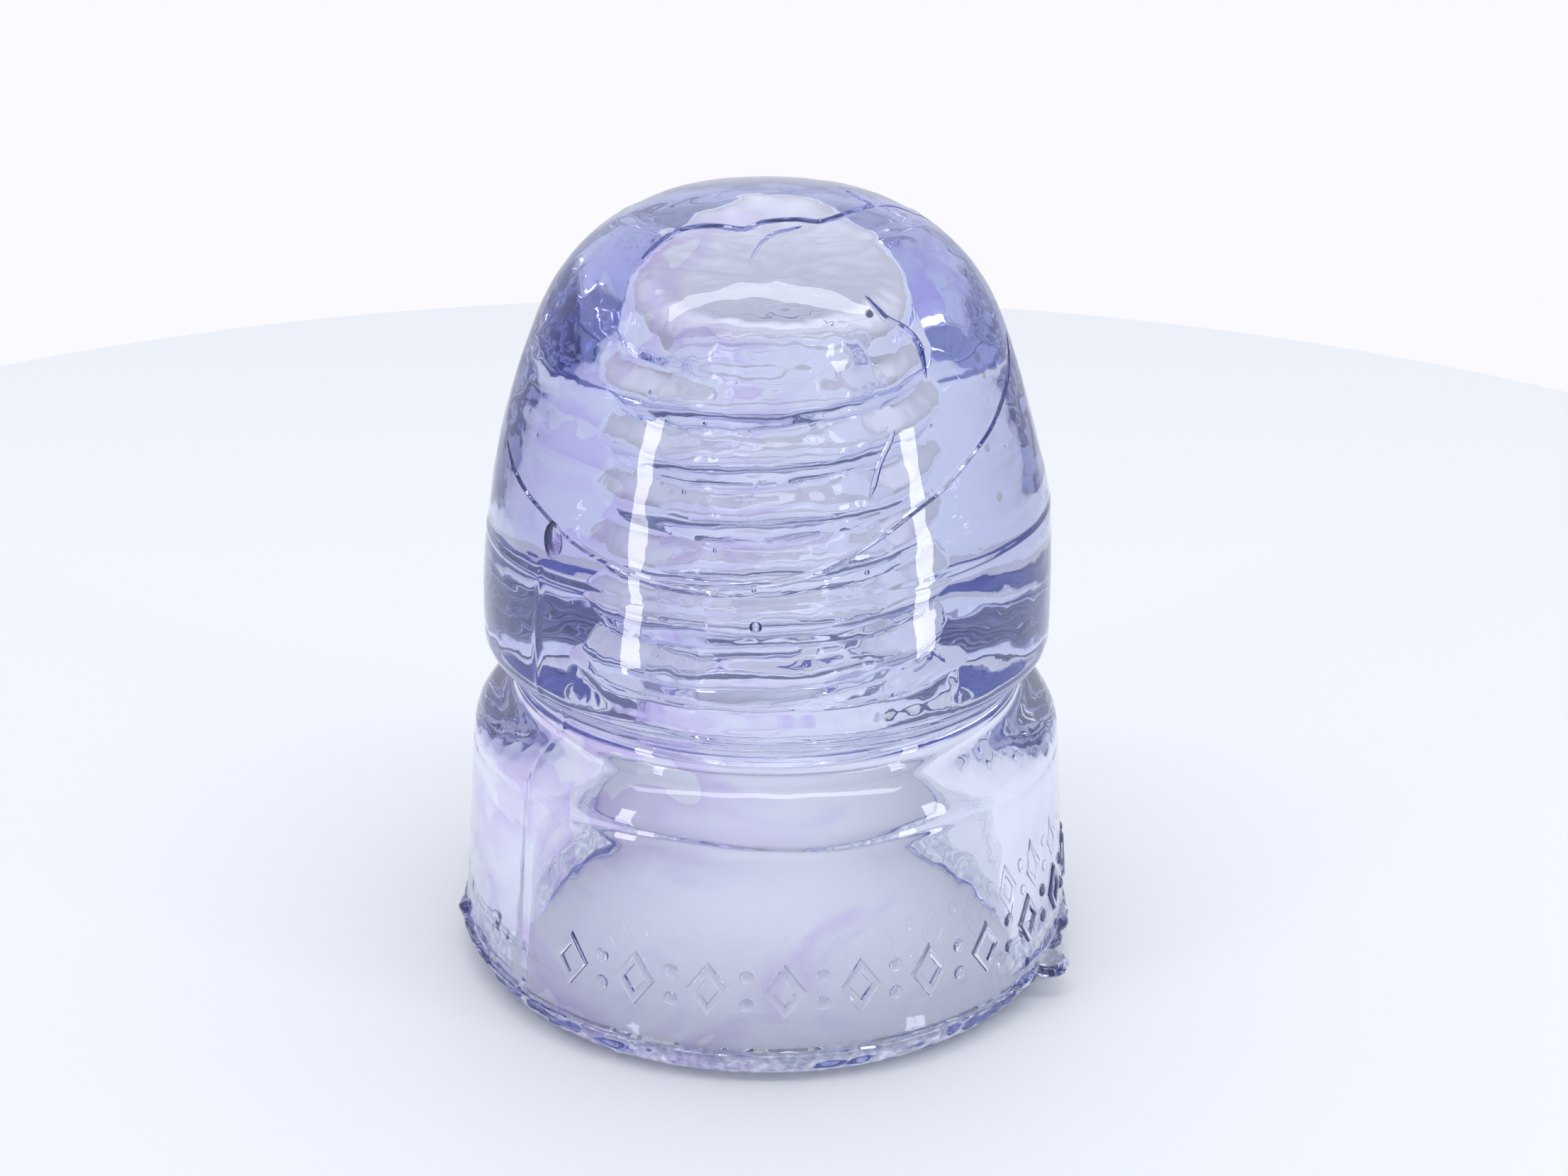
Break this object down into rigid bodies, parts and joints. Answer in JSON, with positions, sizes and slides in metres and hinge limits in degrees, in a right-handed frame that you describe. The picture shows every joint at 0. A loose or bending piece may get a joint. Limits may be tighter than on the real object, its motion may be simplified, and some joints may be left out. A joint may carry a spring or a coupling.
{
  "type": "pin insulator",
  "caption": "Beehive-shaped pressed-glass pin insulator with a domed crown, a wire groove, a plain skirt and a tapered threaded pinhole.",
  "frame": {"origin": "centre of the rim that the insulator stands on", "axes": "+Z along the pinhole's axis, towards the dome; -Y towards the middle of the side with the raised marks"},
  "size_m": [0.0848, 0.0848, 0.1016],
  "materials": {
    "glass": "fire-polished pressed glass, pale lavender-blue with darker swirls"
  },
  "bodies": {
    "root": {"glass_body": "glass"}
  },
  "joints": []
}
